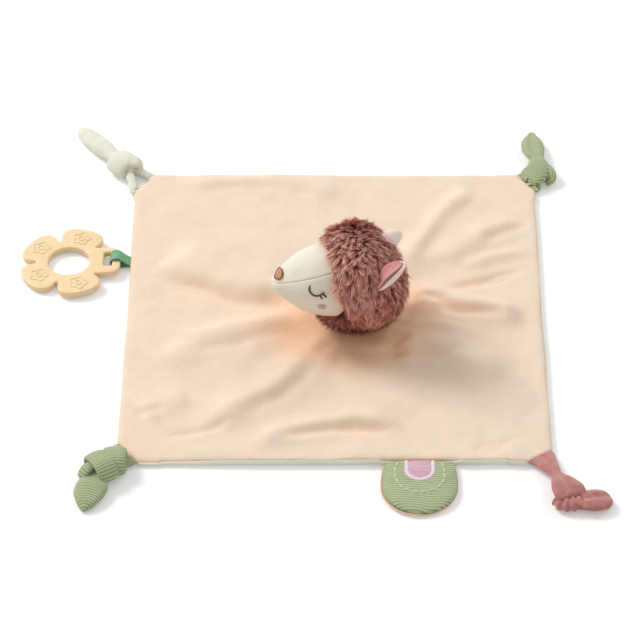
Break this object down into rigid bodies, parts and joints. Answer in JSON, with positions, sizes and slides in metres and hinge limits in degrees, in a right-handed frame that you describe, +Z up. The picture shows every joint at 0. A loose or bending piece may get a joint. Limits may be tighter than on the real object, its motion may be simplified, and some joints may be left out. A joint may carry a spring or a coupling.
{
  "type": "comfort blanket lovey",
  "caption": "Square comfort blanket with a stuffed animal head in the middle, knotted corner straps, a flower teether on a ribbon and a padded half-round tab",
  "frame": {"origin": "middle of the blanket's underside, on the surface it lies on", "axes": "+X along the front edge to the right, +Y from the front edge to the rear edge, +Z up out of the blanket"},
  "size_m": [0.4252, 0.4213, 0.1006],
  "materials": {
    "peach_velour": "soft matte velour",
    "backing_cloth": "matte smooth cloth",
    "rose_fur": "long soft pile",
    "face_jersey": "short soft pile",
    "stuffing": "loose fibre",
    "nose_thread": "satin stitch",
    "eye_thread": "satin stitch",
    "cheek_thread": "satin stitch",
    "ear_back_jersey": "short soft pile",
    "ear_lining_velour": "soft matte velour",
    "ribbon_satin": "soft ribbed ribbon",
    "teether_silicone": "matte silicone",
    "green_corduroy": "ribbed corduroy",
    "pink_terry": "looped terry",
    "pink_satin": "glossy satin",
    "cream_jersey": "short soft pile",
    "rose_velvet": "soft velvet"
  },
  "bodies": {
    "blanket": {"blanket_top_panel": "peach_velour", "blanket_back_panel": "backing_cloth", "neck_ring": "peach_velour"},
    "neck": {"neck_core": "stuffing"},
    "head": {"head_stuffing": "stuffing", "head_fur_cover": "rose_fur", "face_gusset": "face_jersey", "face_side_left": "face_jersey", "face_side_right": "face_jersey", "nose_patch": "nose_thread", "eye_left": "eye_thread", "eye_right": "eye_thread", "cheek_left": "cheek_thread", "cheek_right": "cheek_thread"},
    "ear_left": {"ear_left_back": "ear_back_jersey", "ear_left_lining": "ear_lining_velour"},
    "ear_right": {"ear_right_back": "ear_back_jersey", "ear_right_lining": "ear_lining_velour"},
    "ribbon": {"ribbon_loop": "ribbon_satin"},
    "teether": {"teether": "teether_silicone"},
    "tab": {"tab_face": "green_corduroy", "tab_wadding": "stuffing", "tab_backing": "peach_velour", "tab_applique": "pink_terry", "tab_applique_border": "pink_satin"},
    "knot_rear_left": {"corner_knot_rear_left": "cream_jersey"},
    "tail_rear_left": {"corner_tail_rear_left": "cream_jersey"},
    "knot_rear_right": {"corner_knot_rear_right": "green_corduroy"},
    "tail_rear_right": {"corner_tail_rear_right": "green_corduroy"},
    "knot_front_left": {"corner_knot_front_left": "green_corduroy"},
    "tail_front_left": {"corner_tail_front_left": "green_corduroy"},
    "knot_front_right": {"corner_knot_front_right": "rose_velvet"},
    "tail_front_right": {"corner_tail_front_right": "rose_velvet"}
  },
  "joints": [
    {"name": "head_turn", "type": "hinge", "parent": "blanket", "child": "neck", "pos_m": [0.018, -0.0137, 0.0098], "axis": [0, 0, 1], "range_deg": [-45, 45]},
    {"name": "head_nod", "type": "hinge", "parent": "neck", "child": "head", "pos_m": [0.018, -0.0137, 0.0098], "axis": [0, 1, 0], "range_deg": [-12, 12]},
    {"name": "ear_left_flop", "type": "hinge", "parent": "head", "child": "ear_left", "pos_m": [0.03039, -0.05219, 0.06997], "axis": [-0.0981, 0.9902, -0.0991], "range_deg": [-5, 25], "stiffness_Nm_per_rad": 0.002},
    {"name": "ear_right_flop", "type": "hinge", "parent": "head", "child": "ear_right", "pos_m": [0.03925, 0.00195, 0.08401], "axis": [0.525, 0.6668, 0.5289], "range_deg": [-5, 25], "stiffness_Nm_per_rad": 0.002},
    {"name": "ribbon_flap", "type": "hinge", "parent": "blanket", "child": "ribbon", "pos_m": [-0.15135, 0.0575, 0.00265], "axis": [0, 1, 0], "range_deg": [-40, 40]},
    {"name": "teether_swing", "type": "hinge", "parent": "ribbon", "child": "teether", "pos_m": [-0.15954, 0.0575, 0.00492], "axis": [0, 1, 0], "range_deg": [-100, 100]},
    {"name": "tab_flap", "type": "hinge", "parent": "blanket", "child": "tab", "pos_m": [0.0585, -0.1601, 0.00265], "axis": [1, 0, 0], "range_deg": [-85, 85]},
    {"name": "knot_rear_left_flap", "type": "hinge", "parent": "blanket", "child": "knot_rear_left", "pos_m": [-0.14483, 0.1478, 0.00265], "axis": [-0.5547, -0.8321, 0], "range_deg": [-75, 75]},
    {"name": "tail_rear_left_flop", "type": "hinge", "parent": "knot_rear_left", "child": "tail_rear_left", "pos_m": [-0.16682, 0.17176, 0.0098], "axis": [-0.829, -0.5592, 0], "range_deg": [-50, 35]},
    {"name": "knot_rear_right_flap", "type": "hinge", "parent": "blanket", "child": "knot_rear_right", "pos_m": [0.14599, 0.14887, 0.00265], "axis": [-0.5328, 0.8462, 0], "range_deg": [-60, 60]},
    {"name": "tail_rear_right_flop", "type": "hinge", "parent": "knot_rear_right", "child": "tail_rear_right", "pos_m": [0.15375, 0.17243, 0.01018], "axis": [-0.9925, -0.1219, 0], "range_deg": [-50, 35]},
    {"name": "knot_front_left_flap", "type": "hinge", "parent": "blanket", "child": "knot_front_left", "pos_m": [-0.1451, -0.14982, 0.00265], "axis": [0.6051, -0.7962, 0], "range_deg": [-75, 75]},
    {"name": "tail_front_left_flop", "type": "hinge", "parent": "knot_front_left", "child": "tail_front_left", "pos_m": [-0.16206, -0.18176, 0.01284], "axis": [0.9613, -0.2756, 0], "range_deg": [-50, 35]},
    {"name": "knot_front_right_flap", "type": "hinge", "parent": "blanket", "child": "knot_front_right", "pos_m": [0.14333, -0.15419, 0.00265], "axis": [0.8262, 0.5633, 0], "range_deg": [-75, 75]},
    {"name": "tail_front_right_flop", "type": "hinge", "parent": "knot_front_right", "child": "tail_front_right", "pos_m": [0.17111, -0.1962, 0.0098], "axis": [0.0523, 0.9986, 0], "range_deg": [-50, 35]}
  ]
}
